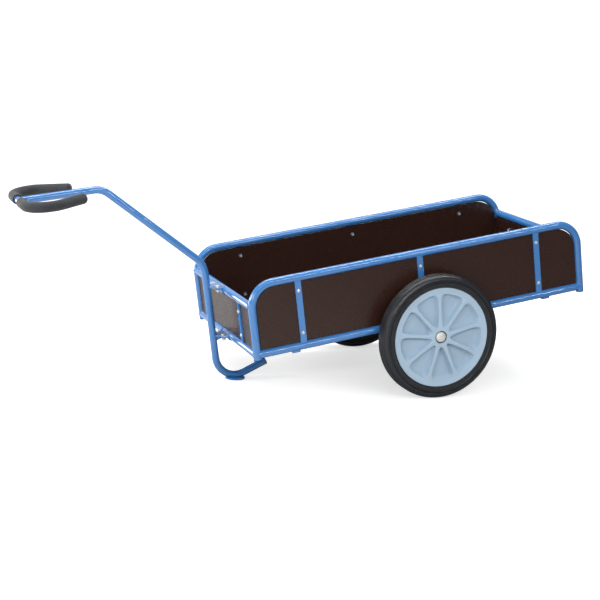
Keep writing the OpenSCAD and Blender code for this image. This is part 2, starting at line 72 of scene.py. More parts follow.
HANDLE_X, HANDLE_Z = -602.0, 544.8
HANDLE_FALL, HANDLE_TURN, FOOT_TURN = 1.5, 43.8, 106.0
DRAW_RUNS = (230.4, 358.2, 282.5, 79.0)
DRAW_BENDS = (63.0, 80.0, 69.0)
UPRIGHT_X = -53.3
PLATE_TOPS, PLATE_T = (170.0, 7.0), 5.0
LUG_HALF_W = 36.0

BOW_LEAN, BOW_SLOPE = math.radians(32), math.radians(2.2)
CORNER_R, BOW_HALF, BOW_REACH, BOW_BARE = 65.0, 157.0, 172.0, 27.0

AXLE = Vector((589.0, 0.0, -47.0))
WHEEL_Y, WHEEL_R = 332.0, 200.0
RIM_R, SEAT_R, BORE_R = 160.6, 150.1, 10.05
SPOKES, SPOKE_PHASE = 9, math.radians(86.9)
HUB_FACE, HUB_BACK, WASHER_SEAT = 22.0, 30.0, 17.0

GROUND = WHEEL_R - (AXLE.x * math.sin(PITCH) + AXLE.z * math.cos(PITCH))
REAR_REACH = (BED_L + TUBE) * math.cos(PITCH) + (LEG_DROP + PLUG_CAP) * math.sin(PITCH)
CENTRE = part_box("hoop_plugs")[1].x * 1000 - REAR_REACH
TIP = Matrix.Translation((CENTRE, 0, GROUND)) @ Matrix.Rotation(-PITCH, 4, "Y")


def at(x, y, z):
    """A point of the bed's own frame, in mm, as a point of the model, in metres."""
    return (TIP @ Vector((x, y, z))) * 0.001


def wheel_at(side, u, v, w):
    """A point of a wheel: u, v across its face and w out along the axle, in mm."""
    return at(AXLE.x + u, side * (WHEEL_Y + w), AXLE.z + v)


AXLE_AT = tuple(at(*AXLE))


# ---------------------------------------------------------------- node helpers
def material(name):
    """A new material, with its node tree and its shader."""
    mat = bpy.data.materials.new(name)
    mat.use_nodes = True
    tree = mat.node_tree
    tree.nodes.clear()
    shader = tree.nodes.new("ShaderNodeBsdfPrincipled")
    tree.links.new(shader.outputs[0], tree.nodes.new("ShaderNodeOutputMaterial").inputs[0])
    return mat, tree, shader


def add(tree, kind, **values):
    """A node with its settings and the constants on its sockets."""
    node = tree.nodes.new(kind)
    for key, value in values.items():
        if hasattr(node, key):
            setattr(node, key, value)
        else:
            node.inputs[key].default_value = value
    return node


def put(tree, value, socket):
    """Sets a socket to a number, or links it to another node's output."""
    if isinstance(value, float):
        socket.default_value = value
    else:
        tree.links.new(value, socket)


def coords(tree):
    """The position on the object, in metres."""
    return tree.nodes.new("ShaderNodeTexCoord").outputs["Object"]


def noise_tex(tree, scale, detail, rough=0.5):
    node = add(tree, "ShaderNodeTexNoise", Scale=scale, Detail=detail, Roughness=rough)
    tree.links.new(coords(tree), node.inputs["Vector"])
    return node.outputs["Fac"]


def cells(tree, scale):
    """The distance from the middle of the nearest of many small cells."""
    node = add(tree, "ShaderNodeTexVoronoi", Scale=scale)
    tree.links.new(coords(tree), node.inputs["Vector"])
    return node.outputs["Distance"]


def grey(v):
    return (v, v, v)


def ramp(tree, fac, stops):
    """Colours at positions from 0 to 1."""
    node = tree.nodes.new("ShaderNodeValToRGB")
    while len(node.color_ramp.elements) < len(stops):
        node.color_ramp.elements.new(0.5)
    for element, (position, colour) in zip(node.color_ramp.elements, stops):
        element.position = position
        element.color = (*colour, 1)
    tree.links.new(fac, node.inputs[0])
    return node.outputs[0]


def shades(tree, fac, low, high, span=(0.3, 0.7)):
    """Drifts from one shade to another."""
    return ramp(tree, fac, list(zip(span, (low, high))))


def maths(tree, operation, a, b=None):
    """A calculation with numbers or other nodes' outputs."""
    node = add(tree, "ShaderNodeMath", operation=operation)
    put(tree, a, node.inputs[0])
    if b is not None:
        put(tree, b, node.inputs[1])
    return node.outputs[0]


def mix(tree, factor, low, high, kind="RGBA"):
    """Goes from low to high with the factor; kind is RGBA or FLOAT."""
    node = add(tree, "ShaderNodeMix", data_type=kind)
    first, second, result = (6, 7, 2) if kind == "RGBA" else (2, 3, 0)
    tree.links.new(factor, node.inputs["Factor"])
    tree.links.new(low, node.inputs[first])
    tree.links.new(high, node.inputs[second])
    return node.outputs[result]


def bump(tree, shader, height, strength, distance, after=None):
    """Relief on the shader, on top of an earlier relief if there is one."""
    node = add(tree, "ShaderNodeBump", Strength=strength, Distance=distance)
    tree.links.new(height, node.inputs["Height"])
    if after:
        tree.links.new(after, node.inputs["Normal"])
    tree.links.new(node.outputs[0], shader.inputs["Normal"])
    return node.outputs[0]


def surface(tree, shader, colour, roughness, specular):
    """Colour, roughness and strength of reflection."""
    tree.links.new(colour, shader.inputs["Base Color"])
    put(tree, roughness, shader.inputs["Roughness"])
    shader.inputs["Specular IOR Level"].default_value = specular


# ---------------------------------------------------------------- materials
def blue_paint():
    """Glossy powder coat: a blue base under a clear coat."""
    mat, tree, shader = material("blue_powder_coat")
    colour = shades(tree, noise_tex(tree, 9, 2), (0.041, 0.192, 0.500), (0.046, 0.206, 0.530))
    roughness = shades(tree, noise_tex(tree, 60, 2), grey(0.10), grey(0.15))
    surface(tree, shader, colour, roughness, 0.3)
    shader.inputs["Coat Weight"].default_value = 1.0
    shader.inputs["Coat IOR"].default_value = 1.75
    shader.inputs["Coat Roughness"].default_value = 0.04
    bump(tree, shader, noise_tex(tree, 300, 2), 0.012, 0.0003)
    return mat


PLY_PAIR = 0.0028  # thickness of two plies, in metres


def film_ply(name, axis):
    """Film-faced plywood. axis is the panel's thickness direction in the model's frame."""
    mat, tree, shader = material(name)

    def along(vector):
        dot = add(tree, "ShaderNodeVectorMath", operation="DOT_PRODUCT")
        tree.links.new(vector, dot.inputs[0])
        dot.inputs[1].default_value = axis
        return dot.outputs["Value"]

    normal = tree.nodes.new("ShaderNodeNewGeometry").outputs["True Normal"]
    facing = maths(tree, "ABSOLUTE", along(normal))
    # 1 on the worn arris between edge and face
    arris = ramp(tree, facing, [(0.0, grey(0)), (0.2, grey(0)), (0.3, grey(1)),
                                (0.93, grey(1)), (0.97, grey(0))])
    # 1 on the edge and 0 on the face
    edge = ramp(tree, facing, [(0.0, grey(1)), (0.9, grey(1)), (0.97, grey(0))])
    wave = maths(tree, "SINE", maths(tree, "MULTIPLY", along(coords(tree)), 2 * math.pi / PLY_PAIR))
    layer = ramp(tree, wave, [(0.0, (0.020, 0.0085, 0.0065)), (0.5, (0.027, 0.0125, 0.0095)),
                              (1.0, (0.036, 0.0175, 0.0125))])
    # dark red-brown film with a faint cloudy depth, and bare wood where it is worn
    film = shades(tree, noise_tex(tree, 6, 4, 0.6), (0.0285, 0.0106, 0.0070),
                  (0.0325, 0.0126, 0.0086), (0.25, 0.75))
    bare = shades(tree, noise_tex(tree, 70, 4), (0.200, 0.125, 0.105), (0.270, 0.178, 0.150))
    colour = mix(tree, arris, mix(tree, edge, film, layer), bare)
    sheen = shades(tree, noise_tex(tree, 30, 3), grey(0.25), grey(0.30))
    dull = shades(tree, noise_tex(tree, 90, 3), grey(0.65), grey(0.8))
    surface(tree, shader, colour, mix(tree, edge, sheen, dull, "FLOAT"), 0.42)
    # the film's fine press pattern
    bump(tree, shader, cells(tree, 900), 0.02, 0.0002)
    return mat


def wheel_plane(tree):
    """The place relative to the axle's middle, in metres, and the distance from the axle's line."""
    shift = add(tree, "ShaderNodeVectorMath", operation="SUBTRACT")
    tree.links.new(coords(tree), shift.inputs[0])
    shift.inputs[1].default_value = AXLE_AT
    place = tree.nodes.new("ShaderNodeSeparateXYZ")
    tree.links.new(shift.outputs[0], place.inputs[0])
    flat = tree.nodes.new("ShaderNodeCombineXYZ")
    tree.links.new(place.outputs["X"], flat.inputs["X"])
    tree.links.new(place.outputs["Z"], flat.inputs["Z"])
    far = add(tree, "ShaderNodeVectorMath", operation="LENGTH")
    tree.links.new(flat.outputs[0], far.inputs[0])
    return place.outputs, far.outputs["Value"]


RIBS = 420.0
RIB_FROM, RIB_TO = 0.1825, 0.1965  # radii between the raised ring and the tread, in metres


def rubber():
    """Black rubber with fine ribs across the shoulder."""
    mat, tree, shader = material("tyre_rubber")
    # the black is tinted bluish: a painted reflection on the rubber
    colour = shades(tree, noise_tex(tree, 25, 4), (0.0110, 0.0125, 0.0160), (0.0160, 0.0178, 0.0220))
    roughness = shades(tree, noise_tex(tree, 90, 3), grey(0.29), grey(0.33))
    surface(tree, shader, colour, roughness, 0.55)
    place, far = wheel_plane(tree)
    around = maths(tree, "ARCTAN2", place["Z"], place["X"])
    ribs = maths(tree, "SINE", maths(tree, "MULTIPLY", around, RIBS))
    inside = maths(tree, "GREATER_THAN", far, RIB_FROM)
    outside = maths(tree, "LESS_THAN", far, RIB_TO)
    shoulder = maths(tree, "MULTIPLY", inside, outside)
    bump(tree, shader, maths(tree, "MULTIPLY", ribs, shoulder), 0.35, 0.0002)
    return mat


WEB_DEPTH, WEB_R = 0.0042, 0.15  # half thickness and radius that hold the web, in metres


def rim_plastic():
    """Satin moulding; the floors of the pockets are duller, and painted a shade darker as painted
    shade for these deep recesses.
    """
    mat, tree, shader = material("rim_plastic")
    place, far = wheel_plane(tree)
    out = maths(tree, "SUBTRACT", maths(tree, "ABSOLUTE", place["Y"]), WHEEL_Y / 1000)
    thin = maths(tree, "LESS_THAN", maths(tree, "ABSOLUTE", out), WEB_DEPTH)
    web = maths(tree, "MULTIPLY", thin, maths(tree, "LESS_THAN", far, WEB_R))
    flow = noise_tex(tree, 14, 3)
    smooth = shades(tree, flow, (0.392, 0.522, 0.646), (0.412, 0.546, 0.674))
    # the web's darker colour is painted shade, for the floors of the deep pockets
    web_painted_shade = shades(tree, flow, (0.352, 0.465, 0.576), (0.374, 0.492, 0.606))
    sheen = shades(tree, noise_tex(tree, 110, 2), grey(0.32), grey(0.42))
    roughness = maths(tree, "ADD", sheen, maths(tree, "MULTIPLY", web, 0.2))
    surface(tree, shader, mix(tree, web, smooth, web_painted_shade), roughness, 0.45)
    bump(tree, shader, noise_tex(tree, 520, 2), 0.06, 0.0004)
    return mat


def foam():
    """Charcoal foam with fine cells and soft lumps."""
    mat, tree, shader = material("grip_foam")
    colour = shades(tree, noise_tex(tree, 40, 4), (0.0250, 0.0264, 0.0300), (0.0350, 0.0368, 0.0415))
    surface(tree, shader, colour, 0.82, 0.3)
    shader.inputs["Sheen Weight"].default_value = 0.12
    shader.inputs["Sheen Roughness"].default_value = 0.6
    fine = bump(tree, shader, cells(tree, 900), 0.35, 0.0006)
    bump(tree, shader, noise_tex(tree, 120, 4, 0.6), 0.2, 0.0008, fine)
    return mat


def plain(name, low, high, rough, metal=0.0, scale=80.0, peel=0.08):
    """Two close shades, a roughness a fifth either side of rough and a fine relief."""
    mat, tree, shader = material(name)
    roughness = shades(tree, noise_tex(tree, scale * 3, 3), grey(rough * 0.8), grey(rough * 1.2))
    surface(tree, shader, shades(tree, noise_tex(tree, scale, 3), low, high), roughness, 0.5)
    shader.inputs["Metallic"].default_value = metal
    bump(tree, shader, noise_tex(tree, scale * 6, 2), peel, 0.0003)
    return mat


BY_SLOT = {
    "blue_paint": blue_paint(),
    "tyre": rubber(),
    "rim_plastic": rim_plastic(),
    "foam": foam(),
    "black_plastic": plain("black_plastic", (0.008, 0.008, 0.009), (0.014, 0.014, 0.015), 0.38),
    "zinc": plain("zinc_plate", (0.66, 0.67, 0.64), (0.78, 0.79, 0.75), 0.34, metal=0.45,
                  scale=160.0),
    "hub_cap": plain("hub_cap_steel", (0.74, 0.74, 0.71), (0.80, 0.80, 0.77), 0.33, metal=0.35,
                     scale=30.0, peel=0.02),
}
# The nuts inside the bed: zinc painted darker and bluer, as painted shade and a painted bluish
# reflection
NUT_ZINC_PAINTED_SHADE = plain("zinc_painted_shade", (0.150, 0.205, 0.265), (0.215, 0.275, 0.335), 0.30, metal=0.6,
                  scale=160.0)
PLY_SIDE = film_ply("ply_side", (0.0, 1.0, 0.0))
PLY_END = film_ply("ply_end", (math.cos(PITCH), 0.0, math.sin(PITCH)))
PLY_FLOOR = film_ply("ply_floor", (-math.sin(PITCH), 0.0, math.cos(PITCH)))
PLY = {"side_panel_left": PLY_SIDE, "side_panel_right": PLY_SIDE, "front_panel": PLY_END,
       "rear_panel": PLY_END, "floor_panel": PLY_FLOOR}

for name, node in nodes.items():
    if name in PLY:
        finish = PLY[name]
    elif name.startswith("panel_nuts"):
        finish = NUT_ZINC_PAINTED_SHADE
    else:
        finish = BY_SLOT[node.data.materials[0].name.split(".")[0]]
    for place in node.material_slots:
        place.material = finish


# ---------------------------------------------------------------- edges of the CAD's own shapes
SHARP = math.radians(35)


def bevel(name, width, segments, clamp):
    """Breaks the sharp edges of a CAD node, so that they catch the light."""
    edge = nodes[name].modifiers.new("edge", "BEVEL")
    edge.width = width
    edge.segments = segments
    edge.limit_method = "ANGLE"
    edge.angle_limit = SHARP
    edge.use_clamp_overlap = clamp


for name in nodes:
    if name in PLY:
        bevel(name, 0.0013, 1, clamp=False)
    elif "strap" in name or "cross_member" in name or "bracket" in name:
        bevel(name, 0.0007, 2, clamp=True)


# ---------------------------------------------------------------- mesh helpers
def piece(name, skin, slot, body="cart", crease=None):
    """A smooth mesh that rides on a body. Edges that turn by more than crease degrees are sharp."""
    verts, faces = skin
    mesh = bpy.data.meshes.new(name)
    mesh.from_pydata([tuple(v) for v in verts], [], faces)
    mesh.materials.append(BY_SLOT[slot])
    bm = bmesh.new()
    bm.from_mesh(mesh)
    bmesh.ops.remove_doubles(bm, verts=bm.verts, dist=1e-6)
    bmesh.ops.recalc_face_normals(bm, faces=bm.faces)
    bm.normal_update()
    for face in bm.faces:
        face.smooth = True
    if crease:
        for edge in bm.edges:
            if len(edge.link_faces) == 2 and edge.calc_face_angle(0) > math.radians(crease):
                edge.smooth = False
    bm.to_mesh(mesh)
    bm.free()
    o = bpy.data.objects.new(name, mesh)
    bpy.context.scene.collection.objects.link(o)
    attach(o, body)
    return o


def loft(rings, closed_ring=True, close_path=False, cap_start=False, cap_end=False):
    """Vertices and faces of a skin over rings of equally many points."""
    n = len(rings[0])
    verts = [p for ring in rings for p in ring]
    faces = []
    for i in range(len(rings) if close_path else len(rings) - 1):
        a, b = i * n, ((i + 1) % len(rings)) * n
        for j in range(n if closed_ring else n - 1):
            k = (j + 1) % n
            faces.append((a + j, a + k, b + k, b + j))
    if cap_start:
        faces.append(tuple(range(n - 1, -1, -1)))
    if cap_end:
        last = (len(rings) - 1) * n
        faces.append(tuple(range(last, last + n)))
    return verts, faces


def joined(skins):
    """One skin made of several."""
    verts, faces = [], []
    for more_verts, more_faces in skins:
        base = len(verts)
        verts += more_verts
        faces += [tuple(base + i for i in face) for face in more_faces]
    return verts, faces


def sweep(path, radius, sides, closed=False):
    """Rings of a round section along a path. radius is a function of the fraction along it."""
    n = len(path)
    rings = []
    previous = None
    for i, p in enumerate(path):
        before = path[(i - 1) % n] if closed or i else path[0]
        after = path[(i + 1) % n] if closed or i < n - 1 else path[-1]
        t = (after - before).normalized()
        if previous is None:
            ref = Vector((0, 0, 1)) if abs(t.z) < 0.9 else Vector((1, 0, 0))
            u = t.cross(ref).normalized()
        else:
            u = (previous - t * previous.dot(t)).normalized()
        previous = u
        v = t.cross(u)
        r = radius(i / (n if closed else n - 1))
        turns = [2 * math.pi * k / sides for k in range(sides)]
        rings.append([p + (u * math.cos(a) + v * math.sin(a)) * r for a in turns])
    return rings


def resample(points, step, closed=False):
    """Points evenly spaced along a polyline."""
    pts = list(points) + ([points[0]] if closed else [])
    lengths = [0.0]
    for a, b in zip(pts, pts[1:]):
        lengths.append(lengths[-1] + (b - a).length)
    total = lengths[-1]
    count = max(3, int(round(total / step)))
    out = []
    j = 0
    for i in range(count + (0 if closed else 1)):
        s = total * i / count
        while j < len(lengths) - 2 and lengths[j + 1] < s:
            j += 1
        f = (s - lengths[j]) / max(lengths[j + 1] - lengths[j], 1e-12)
        out.append(pts[j].lerp(pts[j + 1], min(max(f, 0), 1)))
    return out


def fillet(points, steps):
    """Rounds the corners of an open 2-D polyline of (x, y, radius)."""
    out = []
    for i, (x, y, r) in enumerate(points):
        p = Vector((x, y))
        if i in (0, len(points) - 1) or r <= 0:
            out.append(p)
            continue
        a = Vector(points[i - 1][:2]) - p
        b = Vector(points[i + 1][:2]) - p
        t = min(r / math.tan(a.angle(b) / 2), a.length * 0.49, b.length * 0.49)
        s, e = p + a.normalized() * t, p + b.normalized() * t
        for k in range(steps + 1):
            f = k / steps
            out.append((s * (1 - f) ** 2) + (p * 2 * f * (1 - f)) + (e * f * f))
    return out


def turned(side, profile, angles):
    """Rings of a wheel's profile, (radius, distance outwards), at angles round the axle."""
    return [[wheel_at(side, r * math.cos(a), r * math.sin(a), w) for r, w in profile]
            for a in angles]


def full_circle(count):
    return [2 * math.pi * k / count for k in range(count)]


# ---------------------------------------------------------------- tyres
# Half the section, from the seat in the rim to the middle of the tread: (radius, distance from
# the middle plane, corner radius). It has a raised ring on the side wall and three grooves in the
# half of the tread.
TYRE_HALF = [
    (150.2, 18, 0), (160.7, 20.2, 0.4), (160.7, 25.2, 0.8), (162.2, 27.6, 1.4),
    (166.0, 28.3, 2), (173.2, 28.3, 0.8), (174.6, 29.9, 0.7), (177.2, 29.9, 0.7),
    (178.2, 26.0, 0.6), (180.8, 25.6, 0.6), (182.2, 28.5, 1.0), (188.0, 28.0, 3),
    (193.8, 24.8, 4), (197.6, 19.4, 1.5), (196.2, 18.2, 0.5), (196.8, 16.8, 0.5),
    (199.7, 15.8, 0.7), (WHEEL_R, 13.0, 0.7), (197.4, 12.1, 0.5), (197.4, 10.7, 0.5),
    (WHEEL_R, 9.8, 0.7), (WHEEL_R, 5.4, 0.7), (197.4, 4.5, 0.5), (197.4, 3.1, 0.5),
    (WHEEL_R, 2.2, 0.7), (WHEEL_R, 0, 0),
]


def tyre(side, word):
    """A solid tyre, turned from its section."""
    half = fillet(TYRE_HALF, 3)
    section = half + [Vector((p.x, -p.y)) for p in reversed(half[:-1])]
    skin = loft(turned(side, section, full_circle(240)), close_path=True)
    o = piece("tyre_moulded_" + word, skin, "tyre", body="wheel_" + word, crease=50)
    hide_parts("tyre_" + word)


# ---------------------------------------------------------------- rims
# (radius, half the width of a spoke there)
SPOKE = [(20, 9.6), (26, 8.6), (32, 7.0), (40, 5.7), (50, 5.0), (66, 4.4), (104, 4.3),
         (118, 4.9), (128, 6.2), (136, 8.6), (142, 11.5), (150, 15)]
# a pocket's walls, from the face down to the web: (how far in, half thickness there)
WALLS = [(0.0, HUB_FACE), (0.35, 21.9), (0.8, 21.4), (1.2, 20.4), (4.3, 6.6), (4.9, 4.8),
         (6.0, 3.4), (7.4, 3.0)]
HALF_SECTOR = math.pi / SPOKES
# radii of the rim's face, and of a pocket's mouth, which closes in faster at its ends
FACE_FROM, FACE_TO = 20.3, 146.0
MOUTH_FROM, MOUTH_TO = 31.0, 142.0
CLOSE_IN, CLOSE_OUT = 2.0, 1.7
SQUARENESS = 9.0
SAMPLES, STEPS = 1440, 96
SEAT_EDGE = 19.9


def spoke_half(r):
    """Half the width of a spoke at radius r."""
    for (a, x), (b, y) in zip(SPOKE, SPOKE[1:]):
        if r <= b:
            return x + (y - x) * (r - a) / (b - a)
    return SPOKE[-1][1]


def pocket_points(inset):
    """Evenly spaced points round a pocket: radius, angle, and the place on a rounded square."""
    low, high = MOUTH_FROM + inset * CLOSE_IN, MOUTH_TO - inset * CLOSE_OUT
    dense = []
    for t in full_circle(SAMPLES):
        c, s = math.cos(t), math.sin(t)
        x = math.copysign(abs(c) ** (2 / SQUARENESS), c)
        y = math.copysign(abs(s) ** (2 / SQUARENESS), s)
        r = (low + high) / 2 + x * (high - low) / 2
        room = HALF_SECTOR - math.asin(min(0.99, (spoke_half(r) + inset) / r))
        dense.append((r, y * room, x, y))
    pts = [Vector((r * math.cos(a), r * math.sin(a))) for r, a, _, _ in dense]
    lengths = [0.0]
    for a, b in zip(pts, pts[1:] + pts[:1]):
        lengths.append(lengths[-1] + (b - a).length)
    out = []
    j = 0
    for k in range(STEPS):
        while lengths[j + 1] < lengths[-1] * k / STEPS:
            j += 1
        out.append(dense[j])
    return out


def pocket(inset, height):
    """A ring round a pocket: (radius, angle, half thickness) at each point."""
    return [(r, a, height) for r, a, _, _ in pocket_points(inset)]


def sector(height):
    """A ring round the face's share of one pocket, point for point as the pocket's mouth."""
    edge = []
    for _, _, x, y in pocket_points(0.0):
        reach = max(abs(x), abs(y), 1e-6)
        edge.append([x / reach, y / reach])
    # the point nearest each corner goes into the corner
    for corner in itertools.product((-1, 1), (-1, 1)):
        best = min(range(STEPS), key=lambda i: math.dist(edge[i], corner))
        edge[best] = list(corner)
    return [(FACE_FROM + (x + 1) / 2 * (FACE_TO - FACE_FROM), y * HALF_SECTOR, height)
            for x, y in edge]


def rim(side, word):
    """A moulded rim: a deep web between drafted spokes, with a stepped lip and a hub."""
    rings = [sector(HUB_FACE)] + [pocket(inset, height) for inset, height in WALLS]
    sectors = [SPOKE_PHASE + (2 * k + 1) * HALF_SECTOR for k in range(SPOKES)]
    lip = fillet([(FACE_TO, HUB_FACE, 0), (RIM_R - 3.6, 25.4, 5), (RIM_R - 1.0, 25.7, 0.8),
                  (RIM_R, 24.9, 0.5), (RIM_R, SEAT_EDGE, 0)], 4)
    hub_front = [(FACE_FROM, HUB_FACE), (FACE_FROM, WASHER_SEAT), (BORE_R, WASHER_SEAT)]
    hub_rear = [(FACE_FROM, HUB_FACE), (FACE_FROM, HUB_BACK - 0.4), (FACE_FROM - 0.4, HUB_BACK),
                (BORE_R, HUB_BACK)]
    skins = []
    for face, hub in ((1, hub_front), (-1, hub_rear)):
        for turn in sectors:
            skins.append(loft([[wheel_at(side, r * math.cos(a + turn), r * math.sin(a + turn),
                                         face * z) for r, a, z in ring] for ring in rings],
                              cap_end=True))
        # the lip and the hub share the points on the rim's face, which a sector ends with
        for profile, edge_r in ((lip, FACE_TO), (hub, FACE_FROM)):
            shared = sorted({round(a, 9) for r, a, _ in rings[0] if abs(r - edge_r) < 1e-6})
            angles = [turn + a for turn in sectors for a in shared[:-1]]
            skins.append(loft(turned(side, [(r, face * w) for r, w in profile], angles),
                              closed_ring=False, close_path=True))
    bore = [(BORE_R, WASHER_SEAT), (BORE_R, -HUB_BACK)]
    seat = [(RIM_R, SEAT_EDGE), (SEAT_R, 18), (SEAT_R, -18), (RIM_R, -SEAT_EDGE)]
    for profile in (bore, seat):
        skins.append(loft(turned(side, profile, full_circle(144)), closed_ring=False,
                          close_path=True))
    o = piece("rim_moulded_" + word, joined(skins), "rim_plastic", body="wheel_" + word, crease=38)
    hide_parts("rim_" + word)


for side, word in ((-1, "left"), (1, "right")):
    tyre(side, word)
    rim(side, word)

# ---------------------------------------------------------------- tubes
# The smooth tubes are thinner than the CAD's by SKIN. HAIR keeps the free ends and the drawbar's
# top inside the CAD's box.
SKIN, HAIR = 0.01, 0.05
# A coped tube ends this far from the centre line of the tube that it meets, and the drawbar
# begins this far behind the centre line of the handle's tube.
COPE, DRAW_START = 2.0, 4.2
TUBE_SIDES, BEND_STEPS = 40, 24


def bent(start, heading, runs, turns, bends):
    """A centre line in a plane: straight runs joined by bends; angles in degrees, left positive."""
    p, a = Vector(start), math.radians(heading)
    out = [p.copy()]
    for i, run in enumerate(runs):
        p = p + Vector((math.cos(a), math.sin(a))) * run
        out.append(p.copy())
        if i < len(turns):
            s = math.copysign(1, turns[i])
            c = p + Vector((-math.sin(a), math.cos(a))) * s * bends[i]
            turn = math.radians(turns[i])
            for k in range(1, BEND_STEPS + 1):
                b = a + turn * k / BEND_STEPS
                out.append(c - Vector((-math.sin(b), math.cos(b))) * s * bends[i])
            a += turn
            p = out[-1].copy()
    return out


def pipe(node, line, radius):
    """A smooth round tube in place of a CAD node, along a centre line in the model's frame."""
    rings = sweep(line, lambda f: (radius - SKIN) * 0.001, TUBE_SIDES)
    o = piece(node + "_smooth", loft(rings, cap_start=True, cap_end=True), "blue_paint", crease=50)
    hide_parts(node)


leg = BED_H - HOOP_R + LEG_DROP
hoop = bent((0, HAIR - LEG_DROP), 90, (leg, BED_L - 2 * HOOP_R, leg), (-90, -90), (HOOP_R, HOOP_R))
for y, word in ((-HALF_W, "left"), (HALF_W, "right")):
    pipe("side_hoop_" + word, [at(q.x, y, q.y) for q in hoop], TUBE)
    pipe("side_bottom_rail_" + word, [at(COPE, y, 0), at(BED_L - COPE, y, 0)], TUBE)
for x, word in ((0.0, "front"), (BED_L, "rear")):
    for z, level in ((RAIL_H, "upper"), (0.0, "lower")):
        pipe(word + "_" + level + "_rail", [at(x, COPE - HALF_W, z), at(x, HALF_W - COPE, z)], TUBE)

drop = math.tan(math.radians(HANDLE_FALL))
first, lean, upright, free = DRAW_RUNS
drawbar = bent((HANDLE_X + DRAW_START, HANDLE_Z - DRAW_START * drop), -HANDLE_FALL,
               (first - DRAW_START, lean, upright, free - HAIR),
               (-HANDLE_TURN, HANDLE_TURN + HANDLE_FALL - 90, FOOT_TURN), DRAW_BENDS)
pipe("drawbar_tube", [at(q.x, 0, q.y) for q in drawbar], DRAW - HAIR)


# ---------------------------------------------------------------- handle
STRAIGHT_STEPS, CORNER_STEPS = 12, 40
GRIP_STEP, GRIP_SIDES = 3.0, 44
# the sleeve's mouth round the tube, how far inside it begins, and the rounding of its edge
FOAM_GAP, MOUTH = 0.12, (4.0, 0.6)
EDGE_R, EDGE_IN, EDGE_STEPS = 4.0, 0.5, 6
DOME, DOME_POWER, DOME_STEPS = 11.2, 0.72, 12
LUMP, LUMP_SCALE = 0.35, 0.045


def bow_at(x, y, z=0.0):
    """A point of the handle's own plane: x back from the bare middle."""
    c, s = math.cos(BOW_SLOPE), math.sin(BOW_SLOPE)
    return at(HANDLE_X + x * c + z * s, y, HANDLE_Z - x * s + z * c)


def bow_path(side, start):
    """The handle's centre line from the bare middle to the end of one arm, in its plane."""
    corner = BOW_HALF - CORNER_R
    pts = [(0.0, start + (corner - start) * i / STRAIGHT_STEPS) for i in range(STRAIGHT_STEPS)]
    for i in range(CORNER_STEPS + 1):
        a = (math.pi / 2 + BOW_LEAN) * i / CORNER_STEPS
        pts.append((CORNER_R * (1 - math.cos(a)), corner + CORNER_R * math.sin(a)))
    x0, y0 = pts[-1]
    arm = (BOW_REACH - x0) / math.cos(BOW_LEAN)
    for i in range(1, STRAIGHT_STEPS + 1):
        run = arm * i / STRAIGHT_STEPS
        pts.append((x0 + run * math.cos(BOW_LEAN), y0 - run * math.sin(BOW_LEAN)))
    return [Vector((x, side * y, 0)) for x, y in pts]


def grip(side, word):
    """A foam sleeve: square-cut and rounded at the middle, domed over the arm's end."""
    line = resample(bow_path(side, BOW_BARE), GRIP_STEP)
    last = len(line) - 1

    def ring(i, shift, r, lumpy=True):
        t = (line[min(i + 1, last)] - line[max(i - 1, 0)]).normalized()
        across = Vector((-t.y, t.x, 0))
        out = []
        for a in full_circle(GRIP_SIDES):
            d = across * math.cos(a) + Vector((0, 0, 1)) * math.sin(a)
            q = line[i] + t * shift + d * r
            if lumpy:
                q += d * LUMP * (noise.noise(q * LUMP_SCALE) - 1)
            out.append(bow_at(q.x, q.y, q.z))
        return out

    # out of the sleeve's mouth, round its edge, along the handle and over the end
    rings = [ring(0, shift, BOW + FOAM_GAP, lumpy=False) for shift in MOUTH]
    for k in range(EDGE_STEPS + 1):
        a = math.pi / 2 * k / EDGE_STEPS
        rings.append(ring(0, EDGE_IN + EDGE_R * (1 - math.cos(a)),
                          GRIP - EDGE_R * (1 - math.sin(a))))
    for i in range(2, len(line)):
        rings.append(ring(i, 0, GRIP))
    for k in range(1, DOME_STEPS):
        a = math.pi / 2 * k / DOME_STEPS
        rings.append(ring(last, DOME * math.sin(a), GRIP * math.cos(a) ** DOME_POWER))
    o = piece("foam_grip_" + word, loft(rings, cap_end=True), "foam")
    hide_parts("grip_" + word)


grip(-1, "left")
grip(1, "right")

# from one arm's end to the other's, with the bare middle's own middle only once
whole = bow_path(-1, 0.0)[:0:-1] + bow_path(1, 0.0)
pipe("handle_bow", [bow_at(q.x, q.y) for q in whole], BOW)


# ---------------------------------------------------------------- weld beads
# distance from ring to ring, length of a ripple, and the drift's turn from ring to ring
BEAD_STEP, RIPPLE, DRIFT = 1.1, 2.6, 0.31
BEAD_SIDES, SEAM_POINTS = 8, 72
# half lengths of the beads on a strap's end and an axle bracket
STRAP_BEAD, BRACKET_BEAD = 10.5, 38.0
# a cross member's bead, from inside the hoop's middle plane to outside it
CROSS_IN, CROSS_OUT = 6.0, 2.6
# an axle bracket's bead: its distance from the bracket's middle plane, and its height
BRACKET_FACE, BRACKET_TOP = 4.4, -11.6
NECK_LEAST = 2.2
X, Y, Z = (1, 0, 0), (0, 1, 0), (0, 0, 1)


def uneven(step, start):
    """A bead's radius as a share of the nominal one: fine ripples on a slow drift."""
    ripples = math.sin(2 * math.pi * step * BEAD_STEP / RIPPLE + start)
    return 0.93 + 0.11 * ripples + 0.08 * math.sin(step * DRIFT + start)


def bead(name, paths, radius):
    """Weld beads along closed or open paths given in the bed's frame, in mm."""
    skins = []
    for points, closed in paths:
        line = resample([at(*p) for p in points], BEAD_STEP * 0.001, closed)
        # each bead's ripples start elsewhere
        start = sum(points[0]) * 0.37
        rings = sweep(line, lambda f: 0.001 * radius * uneven(f * len(line), start), BEAD_SIDES,
                      closed)
        skins.append(loft(rings, close_path=closed, cap_start=not closed, cap_end=not closed))
    piece(name, joined(skins), "blue_paint")


def straight(start, end):
    return [start, end], False


